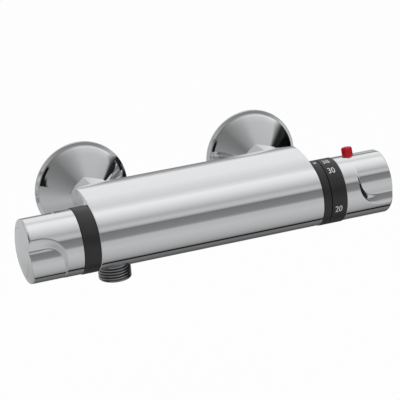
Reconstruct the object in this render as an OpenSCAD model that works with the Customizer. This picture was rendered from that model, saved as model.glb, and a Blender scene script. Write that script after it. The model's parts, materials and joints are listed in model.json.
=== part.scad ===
// Thermostatic bar valve for a shower, wall mounted on two eccentric unions.
// X runs along the bar to the temperature handle, Y into the wall, Z up.
// The origin lies on the wall plane, midway between the two supply pipes.

/* [Wall and inlets] */
// Distance between the two wall supplies
inlet_pitch = 150; // [148:0.5:152]
// Distance from the wall plane to the axis of the bar
wall_to_bar = 87; // [86.5:0.1:87.5]
// Height of the valve's inlets above the wall pipes, set by the eccentric unions
inlet_rise = 13; // [12.5:0.1:13.5]
// Outer radius of the G1/2 thread that goes into the wall
wall_thread_r = 10.48; // [10.4:0.01:10.55]
// Length of the thread that goes into the wall
wall_thread_len = 16; // [12:0.5:20]
// Outer radius of the G3/4 threads
outlet_thread_r = 13.22; // [13.1:0.01:13.3]
// Radius of the wall flanges
flange_r = 39.5; // [38:0.5:42]

/* [Body] */
// Length of the valve body
body_len = 188; // [186:0.5:190]
// Radius of the round front of the bar and of both handles
bar_r = 26; // [25.8:0.1:26.2]
// Radius of the crown on top of the body
crown_r = 110; // [100:1:125]
// Angle at which the crown leaves the round front, from the rear horizontal
crown_start = 112; // [110:0.5:114]
// Distance from the bar's axis to the rear face of the body
rear_y = 38; // [37.5:0.1:38.5]
// Place of the outlet along the bar
outlet_x = -78; // [-79:0.5:-77]
// Height of the lower end of the outlet
outlet_end_z = -36; // [-38:0.5:-35]

/* [Handles] */
// Length of each handle to the tip of its domed end
handle_tip = 45.8; // [45.5:0.1:46]
// Radius of the black rings
ring_r = 26.5; // [26.3:0.1:26.8]
// Width of the fixed index ring
index_ring_w = 6.3; // [6:0.1:6.4]
// Width of the temperature scale ring and of the ring at the flow handle
scale_ring_w = 13; // [12.8:0.1:13]
// Angle of the safety button above the front of the bar
button_angle = 105; // [100:1:110]
// How far the safety button stands out of the handle
button_out = 6.4; // [6:0.1:6.8]
// Turn of the flow handle away from its mirrored twin, at rest
flow_rest_turn = 10; // [0:1:20]

/* [Finger recess] */
// Distance from the ring to the start of the recess
recess_start = 13; // [12:0.5:14]
// Radius of the recess's rounded corner
recess_corner_r = 20; // [18:0.5:21]
// Radius of the recess's floor
recess_floor_r = 20.6; // [20.4:0.1:21]

/* [Hidden] */

$fn = 96;
eps = 0.01;
body_half = body_len / 2;
hot_x = -inlet_pitch / 2;
cold_x = inlet_pitch / 2;
part_gap = 0.3;

// Radial clearance of a shaft that turns or slides in its hole
fit_gap = 0.08;

// Where the rings and handles begin, as distances from the middle of the bar
flow_handle_x = body_half + part_gap + scale_ring_w + 0.1;
scale_ring_x = body_half + index_ring_w + 0.5;
temp_handle_x = scale_ring_x + scale_ring_w + 0.1;

chrome = [0.80, 0.81, 0.82];
satin_black = [0.14, 0.13, 0.13];
button_red = [0.70, 0.05, 0.09];
brass = [0.80, 0.64, 0.34];
steel = [0.62, 0.63, 0.65];
rubber_black = [0.07, 0.07, 0.07];
alumina = [0.93, 0.92, 0.88];
acetal_white = [0.90, 0.90, 0.88];
acetal_blue = [0.25, 0.42, 0.66];
wax_copper = [0.72, 0.45, 0.28];

// Moves a piece from the bar's own frame to the wall frame
module on_bar()
    translate([0, -wall_to_bar, 0]) children();

// Puts a piece that was built for the right end on the left end
module at_left_end()
    rotate([0, 0, 180]) children();

// Solid of revolution about X from points [radius, x]
module turned(points)
    rotate([0, 90, 0]) rotate_extrude() polygon(points);

// Solid of revolution about Y from points [radius, y]
module turned_on_y(points)
    rotate([-90, 0, 0]) rotate_extrude() polygon(points);

// Extrusion along X of an outline whose axes are Y and Z
module along_x(from, to)
    translate([from, 0, 0]) rotate([90, 0, 90]) linear_extrude(to - from) children();

module rod_x(r, from, to)
    translate([from, 0, 0]) rotate([0, 90, 0]) cylinder(r = r, h = to - from);

module rod_y(r, from, to)
    translate([0, from, 0]) rotate([-90, 0, 0]) cylinder(r = r, h = to - from);

module hex_x(across, from, to)
    translate([from, 0, 0]) rotate([0, 90, 0]) cylinder(r = across / 2 / cos(30), h = to - from, $fn = 6);

// Ring of round section about X
module o_ring_x(mean_r, wire_r, x)
    translate([x, 0, 0]) rotate([0, 90, 0]) rotate_extrude() translate([mean_r, 0]) circle(wire_r, $fn = 32);

// Turns what points up so that it points outwards at an angle above the front of the bar
module at_angle(angle)
    rotate([90 - angle, 0, 0]) children();

// Star outline of a splined shaft or socket, tip radius r
module spline_outline(r, teeth = 20, depth = 0.45)
    polygon([for (i = [0:2 * teeth - 1])
        let (rr = i % 2 == 0 ? r : r - depth) rr * [cos(180 * i / teeth), sin(180 * i / teeth)]]);

// Coil springs. Each is one tube along a helix about Z, with rings of six points.
coil_sides = 6;
rings_per_curl = 8;

function coil_point(mean_r, len, curls, wire_r, s) =
    let (a = 360 * curls * s)
    [mean_r * cos(a), mean_r * sin(a), wire_r + (len - 2 * wire_r) * s];

function coil_ring(mean_r, len, curls, wire_r, s) =
    let (a = 360 * curls * s, p = coil_point(mean_r, len, curls, wire_r, s))
    [for (k = [0:coil_sides - 1])
        let (b = 360 * k / coil_sides)
        p + wire_r * (cos(b) * [cos(a), sin(a), 0] + sin(b) * [0, 0, 1])];

// Smallest distance between neighbouring curls of one coil, surface to surface
function coil_gap(mean_r, len, curls, wire_r) =
    let (n = rings_per_curl * curls)
    min([for (i = [0:n - rings_per_curl])
        min([for (j = [i + rings_per_curl - 2:min(n, i + rings_per_curl + 2)])
            norm(coil_point(mean_r, len, curls, wire_r, j / n)
               - coil_point(mean_r, len, curls, wire_r, i / n))])]) - 2 * wire_r;

module coil(mean_r, len, curls, wire_r, label) {
    n = rings_per_curl * curls;
    m = coil_sides;
    echo(str("least gap between curls of the ", label, " in mm: "), coil_gap(mean_r, len, curls, wire_r));
    points = [for (i = [0:n]) each coil_ring(mean_r, len, curls, wire_r, i / n)];
    sides = [for (i = [0:n - 1], k = [0:m - 1])
        let (a = i * m + k, b = i * m + (k + 1) % m)
        each [[a, b, b + m], [a, b + m, a + m]]];
    first_end = [for (k = [1:m - 2]) [0, k + 1, k]];
    last_end = [for (k = [1:m - 2]) [n * m, n * m + k, n * m + k + 1]];
    polyhedron(points = points, faces = concat(sides, first_end, last_end), convexity = 8);
}

// Body

// Outline of the body: round front, crowned top, flat rear and sloping underside
under_r = 6;
// Curves that run into each other overlap by this much, so that they cross cleanly
overlap = 0.02;
under_c = [rear_y - under_r + overlap, -2];

module body_outline() {
    crown_dir = [cos(crown_start), sin(crown_start)];
    under_a = atan2(under_c[1], under_c[0]) - acos((bar_r - under_r) / norm(under_c));
    under_dir = [cos(under_a), sin(under_a)];
    circle(bar_r);
    translate(under_c) circle(under_r);
    intersection() {
        translate((bar_r - crown_r - overlap) * crown_dir) circle(crown_r);
        polygon([(bar_r - overlap) * under_dir, [0, 0], 60 * crown_dir, [rear_y, 60],
            [rear_y, under_c[1]], under_c + (under_r - overlap) * under_dir]);
    }
}

// Outline of the body seen from above: the rear corners sweep forward
sweep_r = 72;
sweep_start = 70;

module body_plan() {
    translate([-sweep_start, -bar_r - 5]) square([2 * sweep_start, bar_r + 5 + rear_y]);
    for (side = [-1, 1]) {
        intersection() {
            translate([side * sweep_start, rear_y - sweep_r]) circle(sweep_r, $fn = 200);
            translate([side > 0 ? sweep_start - eps : -body_half, -bar_r - 5])
                square([body_half - sweep_start + eps, bar_r + 5 + rear_y]);
        }
    }
}

inlet_boss_r = 15.5;
inlet_boss_y = rear_y + 1;
tail_thread_r = 11.5;
tail_seat_y = 27;
thermo_bore_r = 17;
thermo_bore_x = 38;
flow_bore_r = 12.5;
flow_bore_x = 56;
mix_bore_r = 8;
hot_duct_y = 22;
hot_duct_r = 6;
hot_port_x = 54;
cold_port_x = 76;
nipple_collar_r = 13.6;
nipple_seat_z = -19;

module body_casting()
    color(chrome) on_bar() difference() {
        union() {
            intersection() {
                along_x(-body_half, body_half) body_outline();
                translate([0, 0, -50]) linear_extrude(100) body_plan();
            }
            for (x = [hot_x, cold_x])
                translate([x, 0, inlet_rise]) rod_y(inlet_boss_r, rear_y - 10, inlet_boss_y);
        }
        // chambers of the thermostat, the flow control and the mixed water between them
        rod_x(thermo_bore_r, thermo_bore_x, body_half + 1);
        rod_x(flow_bore_r, -body_half - 1, -flow_bore_x);
        rod_x(flow_bore_r + 3, outlet_x - 10, outlet_x + 12);
        rod_x(mix_bore_r, -flow_bore_x - 1, thermo_bore_x + 1);
        // supply bores and the threads of the inlet tails
        for (x = [hot_x, cold_x])
            translate([x, 0, inlet_rise]) rod_y(tail_thread_r + 0.1, tail_seat_y, inlet_boss_y + 1);
        translate([hot_x, 0, inlet_rise]) rod_y(7, hot_duct_y - 2, rear_y);
        translate([cold_x, 0, inlet_rise]) rod_y(7, 8, rear_y);
        // duct that carries hot water along the body to the thermostat
        translate([0, hot_duct_y, inlet_rise]) rod_x(hot_duct_r, hot_x, hot_port_x + 5);
        translate([hot_port_x, 0, 0]) at_angle(180 - atan(inlet_rise / hot_duct_y))
            translate([0, 0, 12]) cylinder(r = 4.5, h = norm([hot_duct_y, inlet_rise]) - 12);
        // outlet
        translate([outlet_x, 0, -bar_r - 1]) cylinder(r = 9, h = bar_r - 5);
        translate([outlet_x, 0, -bar_r - 5]) cylinder(r = nipple_collar_r + 0.05, h = bar_r + 5 + nipple_seat_z);
    }

module outlet_nipple()
    color(chrome) on_bar() translate([outlet_x, 0, 0]) rotate_extrude() polygon([
        [8, outlet_end_z], [12.6, outlet_end_z], [outlet_thread_r, outlet_end_z + 0.6],
        [outlet_thread_r, -27], [nipple_collar_r, -27], [nipple_collar_r, nipple_seat_z - 2.6],
        [11.6, nipple_seat_z - 2.6], [11.6, nipple_seat_z], [8, nipple_seat_z]]);

module outlet_o_ring()
    color(rubber_black) on_bar() translate([outlet_x, 0, nipple_seat_z - 1.3])
        rotate_extrude() translate([12.6, 0]) circle(0.95, $fn = 32);

// Handles. The moulding is built along +X from its ring side, and both ends use it.
dome_r = 72;
edge_r = 4.5;
// Where the middle of the domed end and the middle of its rounded edge lie
dome_x = handle_tip - dome_r;
edge_x = dome_x + sqrt(pow(dome_r - edge_r, 2) - pow(bar_r - edge_r, 2));
shell_r = 18.6;
spigot_r = 21.1;
spigot_len = 8;
hub_r = 8.5;
hub_x = 7.2;
socket_end = 21;
end_wall_x = 33;
cap_seat_x = 38.5;
cap_r = 19.5;
spline_r = 4.4;
stop_rib_angle = 117;
recess_face = 20;
recess_end_angle = -27;
recess_blend_angle = 65;
recess_floor_shift = 5.5;
recess_foot_r = 21.7;
recess_foot_angle = -7;

// Half of the handle's lengthwise section, [radius, x]
module handle_section() {
    round_r = bar_r - edge_r;
    square([bar_r, edge_x]);
    translate([round_r, edge_x]) circle(edge_r);
    intersection() {
        square([round_r * dome_r / (dome_r - edge_r), handle_tip]);
        translate([0, dome_x - overlap]) circle(dome_r, $fn = 300);
    }
}

// What a finger recess takes out, with the direction recess_face turned up
module finger_recess() {
    side = bar_r * sin(recess_end_angle - recess_face);
    blend = bar_r * sin(recess_blend_angle - recess_face);
    corner = [recess_start + recess_corner_r, side + recess_corner_r];
    reach = handle_tip + 6;
    ramp_top = bar_r * [sin(recess_end_angle - recess_face), cos(recess_end_angle - recess_face)];
    ramp_foot = recess_foot_r * [sin(recess_foot_angle - recess_face), cos(recess_foot_angle - recess_face)];
    ramp = (ramp_foot - ramp_top) / (ramp_foot[0] - ramp_top[0]);
    floor_a = recess_blend_angle - recess_face;
    difference() {
        translate([0, 0, 8]) linear_extrude(bar_r) intersection() {
            translate([0, side]) square([reach, blend - side]);
            union() {
                translate(corner) circle(recess_corner_r + overlap);
                translate([corner[0], side]) square([reach, 2 * bar_r]);
                translate([recess_start, corner[1]]) square([reach, 2 * bar_r]);
            }
        }
        // floor, end ramp and side ramp that stay
        along_x(1, reach + 1) translate(recess_floor_shift * [sin(floor_a), cos(floor_a)]) circle(recess_floor_r);
        turned([[0, 1], [bar_r + 3, 1], [bar_r + 3, recess_start - 3], [10, recess_start + bar_r - 10],
            [0, recess_start + bar_r - 10]]);
        along_x(1, reach + 1) polygon([ramp_top - 8 * ramp, ramp_top + 18 * ramp,
            [ramp_top[0] + 18, -5], [ramp_top[0] - 8, -5]]);
    }
}

// The handle moulding: shell, spigot for the ring, hub with a splined socket, ribs and a stop rib
module handle_moulding() {
    difference() {
        union() {
            rotate([0, 90, 0]) rotate_extrude() handle_section();
            rod_x(spigot_r, -spigot_len, 1);
        }
        // hollow around the hub
        turned([[0, -spigot_len - 1], [shell_r, -spigot_len - 1], [shell_r, end_wall_x], [hub_r, end_wall_x],
            [hub_r, hub_x], [0, hub_x]]);
        along_x(hub_x - 1, socket_end) spline_outline(spline_r + 0.05);
        rod_x(2.1, socket_end - 1, end_wall_x);
        rod_x(4.4, socket_end + 5, cap_seat_x + 1);
        rod_x(cap_r, cap_seat_x, handle_tip + 1);
        for (turn = [0, 180])
            rotate([turn, 0, 0]) at_angle(recess_face) finger_recess();
    }
    for (a = [20, 65, 150, 200, 245, 330])
        at_angle(a) translate([socket_end, -0.9, hub_r - 1])
            cube([end_wall_x - socket_end + 0.5, 1.8, shell_r - hub_r + 1.5]);
    at_angle(stop_rib_angle) translate([0.7, -1.4, 16.3]) cube([3.8, 2.8, shell_r - 16.3 + 0.8]);
}

module handle_cap()
    difference() {
        rotate([0, 90, 0]) rotate_extrude() intersection() {
            translate([0, cap_seat_x]) square([cap_r - 0.1, handle_tip - cap_seat_x]);
            translate([0, dome_x]) circle(dome_r, $fn = 300);
        }
        turned([[0, cap_seat_x - 1], [cap_r - 2, cap_seat_x - 1], [cap_r - 2, cap_seat_x + 2.4], [0, cap_seat_x + 2.4]]);
    }

module handle_screw()
    difference() {
        union() {
            rod_x(2, 12, socket_end + 6);
            rod_x(3.9, socket_end + 5, socket_end + 8.5);
        }
        hex_x(3, socket_end + 6.2, socket_end + 9);
    }

// A black ring that clips over the handle's spigot
module clip_ring(width)
    turned([[spigot_r + 0.1, 0], [ring_r - 0.4, 0], [ring_r, 0.4], [ring_r, width - 0.4],
        [ring_r - 0.4, width], [spigot_r + 0.1, width]]);

// Places a piece of a handle at its end of the bar
module flow_end()
    on_bar() at_left_end() translate([flow_handle_x, 0, 0]) children();

module temperature_end()
    on_bar() translate([temp_handle_x, 0, 0]) children();

module flow_handle()
    color(chrome) flow_end() rotate([flow_rest_turn, 0, 0]) handle_moulding();

module flow_handle_cap()
    color(chrome) flow_end() handle_cap();

module flow_handle_screw()
    color(steel) flow_end() handle_screw();

module flow_ring()
    color(satin_black) flow_end() translate([-scale_ring_w - 0.1, 0, 0]) clip_ring(scale_ring_w);

// Safety button and its seat in the temperature handle
button_r = 4.6;
button_x = 16.2;
button_foot = 16.2;
button_flange_top = 17.5;
spring_seat = 9.4;

module temperature_handle()
    color(chrome) temperature_end() {
        difference() {
            handle_moulding();
            at_angle(button_angle) translate([button_x, 0, shell_r - 2]) cylinder(r = button_r + fit_gap, h = 12);
        }
        at_angle(button_angle) translate([button_x, 0, 0]) {
            translate([0, 0, hub_r - 1]) cylinder(r = 3.4, h = spring_seat - hub_r + 1);
            translate([0, 0, spring_seat - 1]) cylinder(r = 1.5, h = 2);
        }
    }

module temperature_handle_cap()
    color(chrome) temperature_end() handle_cap();

module temperature_handle_screw()
    color(steel) temperature_end() handle_screw();

module scale_ring()
    color(satin_black) temperature_end() translate([-scale_ring_w - 0.1, 0, 0]) clip_ring(scale_ring_w);

module index_ring()
    color(satin_black) on_bar() translate([body_half, 0, 0])
        turned([[21.4, 0.05], [ring_r, 0.05], [ring_r, index_ring_w - 0.4], [ring_r - 0.4, index_ring_w],
            [21.4, index_ring_w]]);

module safety_button()
    color(button_red) temperature_end() at_angle(button_angle) translate([button_x, 0, 0]) {
        rotate_extrude() polygon([[0, 13.6], [1.4, 13.6], [1.4, button_foot], [5.8, button_foot],
            [5.8, button_flange_top], [button_r, button_flange_top], [button_r, bar_r + button_out - 0.9],
            [button_r - 0.3, bar_r + button_out - 0.3], [button_r - 0.9, bar_r + button_out - 0.05],
            [0, bar_r + button_out]]);
        translate([1.5 - button_x, -1.4, button_foot]) cube([button_x - 4.5, 2.8, 1.3]);
    }

module button_spring()
    color(steel) temperature_end() at_angle(button_angle) translate([button_x, 0, spring_seat + 0.05])
        coil(2.6, button_foot - spring_seat - 0.1, 4, 0.38, "button spring");

// Ring with a wall that stops the stop rib of a handle, open from open_from up to open_to degrees
module stop_ring(neck_r, open_from, open_to) {
    reach = 40;
    mid = (open_from + open_to) / 2;
    half = (open_to - open_from) / 2;
    turned([[neck_r, 0], [17.8, 0], [17.8, 1.2], [13.2, 1.2], [13.2, 6], [neck_r, 6]]);
    difference() {
        turned([[15.9, 1], [18.2, 1], [18.2, 5.2], [15.9, 5.2]]);
        at_angle(mid) along_x(0, 7)
            polygon([[0, 0], [-reach * sin(half), reach * cos(half)], [-reach, reach], [reach, reach],
                [reach * sin(half), reach * cos(half)]]);
    }
}

// Thermostatic cartridge, at the right end of the body
neck_r = 11;
neck_end = 119;
spindle_r = 6;
shuttle_bore_r = 12.5;
cup_bore_r = 10.5;
cup_bore_x = 78;
cup_wall_x = 95;
cup_flat = 9.2;
cartridge_x = 40;

module thermostat_housing()
    color(brass) on_bar() difference() {
        union() {
            turned([[shuttle_bore_r, cartridge_x], [16.9, cartridge_x],
                [16.9, 43], [15, 43], [15, 45.6], [16.9, 45.6],
                [16.9, 48.5], [14.6, 48.5], [14.6, 59.5], [16.9, 59.5],
                [16.9, 63], [15, 63], [15, 65.6], [16.9, 65.6],
                [16.9, 70.5], [14.6, 70.5], [14.6, 81.5], [16.9, 81.5],
                [16.9, 85], [15, 85], [15, 87.6], [16.9, 87.6],
                [16.9, body_half + 1], [neck_r, body_half + 1], [neck_r, neck_end], [spindle_r + fit_gap, neck_end],
                [spindle_r + fit_gap, cup_wall_x], [cup_bore_r, cup_wall_x], [cup_bore_r, cup_bore_x],
                [shuttle_bore_r, cup_bore_x]]);
            difference() {
                hex_x(36, body_half + 0.05, body_half + 4);
                rod_x(neck_r - 1, body_half - 1, body_half + 5);
            }
            // two keys that keep the adjusting cup from turning
            for (side = [-1, 1])
                intersection() {
                    rod_x(cup_bore_r + 0.5, cup_bore_x, cup_wall_x);
                    translate([cup_bore_x, side * (cup_flat + 2.3) - 2, -12]) cube([17, 4, 24]);
                }
        }
        // rings of ports for hot and cold water
        for (x = [hot_port_x, cold_port_x], a = [0:45:315])
            translate([x, 0, 0]) rotate([a, 0, 0]) translate([0, 0, shuttle_bore_r - 2]) cylinder(r = 2.4, h = 6);
    }

module thermostat_o_rings()
    color(rubber_black) on_bar()
        for (x = [44.3, 64.3, 86.3])
            o_ring_x(15.95, 0.9, x);

module mix_seat()
    color(brass) on_bar() difference() {
        turned([[5.2, 41], [12.4, 41], [12.4, 45], [5.2, 45]]);
        for (a = [0:60:300])
            translate([40, 0, 0]) rotate([a, 0, 0]) translate([0, 0, 9.2]) rod_x(1.5, 0, 6);
    }

module return_spring()
    color(steel) on_bar() translate([45.1, 0, 0]) rotate([0, 90, 0]) coil(6.6, 17.8, 5, 0.7, "return spring");

module mixing_shuttle()
    color(brass) on_bar() difference() {
        turned([[11, 53.5], [shuttle_bore_r - fit_gap, 53.5], [shuttle_bore_r - fit_gap, 75], [11, 75],
            [11, 66], [4.1, 66], [4.1, 63], [11, 63]]);
        for (a = [0:60:300])
            translate([62, 0, 0]) rotate([a, 0, 0]) translate([0, 0, 7.6]) rod_x(2.2, 0, 5);
    }

module wax_element()
    color(wax_copper) on_bar()
        turned([[0, 47], [3.2, 47], [4, 47.8], [4, 66.1], [5.6, 66.1], [5.6, 68], [3, 68], [3, 76],
            [1.5, 76.6], [1.5, 82], [0, 82]]);

module overload_cap()
    color(brass) on_bar()
        turned([[0, 82.05], [0, 83.2], [6.9, 83.2], [6.9, 80.2], [5.6, 80.2], [5.6, 82.05]]);

module overload_spring()
    color(steel) on_bar() translate([83.25, 0, 0]) rotate([0, 90, 0]) coil(5.4, 6.2, 2, 0.7, "overload spring");

module adjusting_cup()
    color(brass) on_bar() difference() {
        turned([[7.2, 79], [10.2, 79], [10.2, 92], [3.1, 92], [3.1, 89.5], [7.2, 89.5]]);
        for (side = [-1, 1])
            translate([78, side * (cup_flat + 2) - 2, -12]) cube([15, 4, 24]);
    }

module temperature_spindle()
    color(brass) on_bar() difference() {
        union() {
            turned([[0, 86], [2.95, 86], [2.95, 93], [8.6, 93], [8.6, 94.8], [spindle_r, 94.8],
                [spindle_r, 101], [4.7, 101], [4.7, 103.2], [spindle_r, 103.2],
                [spindle_r, 107], [4.7, 107], [4.7, 109.2], [spindle_r, 109.2],
                [spindle_r, neck_end + 0.3], [5, neck_end + 0.3], [5, neck_end + 1.4], [spindle_r, neck_end + 1.4],
                [spindle_r, neck_end + 1.6], [0, neck_end + 1.6]]);
            along_x(neck_end + 1, temp_handle_x + socket_end - 0.5) spline_outline(spline_r);
        }
        rod_x(2.05, temp_handle_x + 11, temp_handle_x + socket_end);
    }

module temperature_spindle_o_rings()
    color(rubber_black) on_bar()
        for (x = [102.1, 108.1])
            o_ring_x(5.35, 0.6, x);

module circlip_ring(inner_r, outer_r, x)
    difference() {
        turned([[inner_r, x], [outer_r, x], [outer_r, x + 0.8], [inner_r, x + 0.8]]);
        at_angle(0) translate([x - 1, -1.5, 0]) cube([3, 3, outer_r + 1]);
    }

module temperature_circlip()
    color(steel) on_bar() circlip_ring(5.05, 7.6, neck_end + 0.4);

module temperature_stop_ring()
    color(acetal_white) on_bar() translate([temp_handle_x - 1, 0, 0])
        stop_ring(neck_r + 0.05, button_angle - 56, 238);

// Flow control, at the left end of the body, built along +X and then turned round
headwork_x = 58;
headwork_neck_end = 112;
flow_spindle_r = 4.55;

module flow_headwork()
    color(brass) on_bar() at_left_end() difference() {
        union() {
            turned([[9.7, headwork_x], [12.4, headwork_x], [12.4, 65], [11, 65], [11, 88.5], [12.4, 88.5],
                [12.4, 90], [11, 90], [11, 92.2], [12.4, 92.2],
                [12.4, body_half + 1], [8.5, body_half + 1], [8.5, headwork_neck_end],
                [flow_spindle_r, headwork_neck_end], [flow_spindle_r, 73], [9.7, 73]]);
            difference() {
                hex_x(27, body_half + 0.05, body_half + 5);
                rod_x(7, body_half - 1, body_half + 6);
            }
        }
        // windows that let the water out sideways
        for (a = [45:90:315])
            translate([69.8, 0, 0]) rotate([a, 0, 0]) translate([0, 0, 8]) cylinder(r = 2.9, h = 6);
    }

module headwork_o_rings()
    color(rubber_black) on_bar() at_left_end() o_ring_x(11.7, 0.65, 91.1);

module disc_seal()
    color(rubber_black) on_bar() at_left_end()
        turned([[7.2, 56.05], [9.6, 56.05], [9.6, 58.6], [7.2, 58.6]]);

// Ceramic disc with two opposite ports of 80 degrees
module port_disc(r, from, to, turn)
    along_x(from, to) difference() {
        circle(r);
        rotate(turn) for (side = [0, 180])
            rotate(side) intersection() {
                difference() {
                    circle(7);
                    circle(2.6);
                }
                polygon([[0, 0], 12 * [cos(40), sin(40)], [14, 0], 12 * [cos(40), -sin(40)]]);
            }
    }

module fixed_disc()
    color(alumina) on_bar() at_left_end() port_disc(9.6, 58.65, 61.8, 0);

module moving_disc()
    color(alumina) on_bar() at_left_end() difference() {
        port_disc(9.3, 61.85, 65, 90);
        // notches for the driver of the spindle
        for (side = [-1, 1])
            translate([63.6, side * 8.4 - 1, -1.5]) cube([2, 2, 3]);
    }

module flow_spindle()
    color(brass) on_bar() at_left_end() difference() {
        union() {
            translate([65.05, -9, -2.6]) cube([2.2, 18, 5.2]);
            for (side = [-1, 1])
                translate([63.7, side * 8.35 - 0.85, -1.4]) cube([2, 1.7, 2.8]);
            turned([[0, 65.1], [4.4, 65.1], [4.4, 73.5], [flow_spindle_r - fit_gap, 74],
                [flow_spindle_r - fit_gap, 84], [3.5, 84], [3.5, 86], [flow_spindle_r - fit_gap, 86],
                [flow_spindle_r - fit_gap, 96], [3.5, 96], [3.5, 98], [flow_spindle_r - fit_gap, 98],
                [flow_spindle_r - fit_gap, headwork_neck_end + 0.3], [3.8, headwork_neck_end + 0.3],
                [3.8, headwork_neck_end + 1.4], [flow_spindle_r - fit_gap, headwork_neck_end + 1.4],
                [flow_spindle_r - fit_gap, 114], [0, 114]]);
            rotate([flow_rest_turn, 0, 0])
                along_x(113.5, flow_handle_x + socket_end - 0.5) spline_outline(spline_r);
        }
        rod_x(2.05, flow_handle_x + 11, flow_handle_x + socket_end);
    }

module flow_spindle_o_rings()
    color(rubber_black) on_bar() at_left_end()
        for (x = [85, 97])
            o_ring_x(4, 0.42, x);

module flow_circlip()
    color(steel) on_bar() at_left_end() circlip_ring(3.85, 6.8, headwork_neck_end + 0.4);

// The walls lie 8 degrees clear of the stop rib at rest and at a quarter turn
module flow_stop_ring()
    color(acetal_white) on_bar() at_left_end() translate([flow_handle_x - 1, 0, 0])
        stop_ring(8.55, stop_rib_angle - flow_rest_turn - 8, stop_rib_angle - flow_rest_turn + 98);

// Inlets. Each piece is built on its own inlet axis, along Y.
module on_inlet(x)
    on_bar() translate([x, 0, inlet_rise]) children();

tail_end = 49;
nut_across = 30;
nut_from = 41.3;
nut_to = 63.4;
nut_turn = 18;
union_thread_r = outlet_thread_r;

module inlet_tail()
    color(brass) turned_on_y([[6.5, tail_seat_y + 0.2], [tail_thread_r, tail_seat_y + 0.2],
        [tail_thread_r, inlet_boss_y + 0.2], [12.6, inlet_boss_y + 0.2], [12.6, inlet_boss_y + 1.6],
        [11, inlet_boss_y + 1.6], [11, 45.6], [13, 45.6], [13, tail_end], [8.5, tail_end], [8.5, 33], [6.5, 33]]);

module union_nut()
    color(chrome) difference() {
        intersection() {
            rotate([0, nut_turn, 0]) translate([0, nut_from, 0]) rotate([-90, 0, 0])
                cylinder(r = nut_across / 2 / cos(30), h = nut_to - nut_from, $fn = 6);
            turned_on_y([[0, nut_from], [15.4, nut_from], [18, nut_from + 1.5], [18, nut_to - 1.5],
                [15.4, nut_to], [0, nut_to]]);
        }
        rod_y(11.2, nut_from - 1, nut_to);
        rod_y(union_thread_r + 0.1, 45.5, nut_to + 1);
    }

module filter_washer()
    color(rubber_black) {
        turned_on_y([[8.6, tail_end + 0.05], [12.9, tail_end + 0.05], [12.9, 51], [8.6, 51]]);
        difference() {
            rod_y(9, 49.8, 50.3);
            for (ring = [[0, 1], [3, 6], [6, 12]], i = [0:ring[1] - 1])
                rotate([0, 360 * i / ring[1], 0]) translate([ring[0], 0, 0]) rod_y(1.05, 49, 51);
        }
    }

// Eccentric union: G3/4 end on the inlet axis, G1/2 end on the wall pipe's axis
crank_from = 68;
crank_to = 80;
crank_r = 10.5;
knuckle_r = 11;
water_r = 7.5;
knuckle_water_r = 7.8;
pipe_r = 10.2;
collar_across = 22;
collar_from = 81;

// Places a piece at the bend towards the wall pipe
module at_crank_end()
    translate([0, crank_to, -inlet_rise]) children();

// Aims +Y along the crank, from the inlet's axis to the wall pipe's
module along_crank()
    translate([0, crank_from, 0]) rotate([-atan2(inlet_rise, crank_to - crank_from), 0, 0]) children();

module eccentric() {
    crank_len = norm([crank_to - crank_from, inlet_rise]);
    color(brass) difference() {
        union() {
            rod_y(union_thread_r, 51.1, crank_from);
            translate([0, crank_from, 0]) sphere(union_thread_r - 0.4);
            difference() {
                along_crank() rod_y(crank_r, 0, crank_len);
                // cut back to the thread, so that the flange goes over it
                turned_on_y([[union_thread_r - overlap, 50], [2 * bar_r, 50], [2 * bar_r, crank_from + 0.1],
                    [union_thread_r - overlap, crank_from + 0.1]]);
            }
            at_crank_end() sphere(knuckle_r);
            translate([0, 0, -inlet_rise]) {
                rod_y(pipe_r, crank_to, collar_from + 1);
                rod_y(wall_thread_r, collar_from + 4, wall_to_bar + wall_thread_len);
                translate([0, collar_from, 0]) rotate([-90, 0, 0])
                    cylinder(r = collar_across / 2 / cos(30), h = 5, $fn = 6);
            }
        }
        rod_y(9.5, 51, crank_from - 3);
        rod_y(water_r, 51, crank_from);
        translate([0, crank_from, 0]) sphere(knuckle_water_r);
        along_crank() rod_y(water_r - 0.1, 0, crank_len);
        at_crank_end() {
            sphere(knuckle_water_r);
            rod_y(water_r, 0, wall_to_bar - crank_to + wall_thread_len + 1);
        }
    }
}

// Wall flange: a thin cone that rolls over to a flat lip, screwed on the eccentric union
cone_r = 16.4;
neck_from = 64;
cone_from = 66;
flange_tube_end = 67.2;
skin = 1.5;
roll_r = 24.6;
roll_middle = [15.05, wall_to_bar + 9.54];
lip_w = 1.2;
lip_from = wall_to_bar - 2;

// Points [radius, y] of the flange's rolled part at a radius, between two directions
function roll(r, from, to) =
    [for (i = [0:4]) let (a = from + (to - from) * i / 4) roll_middle + r * [sin(a), -cos(a)]];

module wall_flange()
    color(chrome) turned_on_y(concat(
        [[union_thread_r + 0.1, neck_from], [cone_r, neck_from], [cone_r, cone_from]],
        roll(roll_r, 38.9, 62),
        [[flange_r - 0.4, lip_from], [flange_r, lip_from + 0.4], [flange_r, wall_to_bar],
        [flange_r - lip_w, wall_to_bar], [flange_r - lip_w, lip_from + lip_w]],
        roll(roll_r - skin, 63, 38.9),
        [[cone_r - 1, flange_tube_end], [union_thread_r + 0.1, flange_tube_end]]));

module flange_seal()
    color(rubber_black) turned_on_y([[33, wall_to_bar - 1.7], [35, wall_to_bar - 1.7], [35, wall_to_bar],
        [33, wall_to_bar]]);

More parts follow.
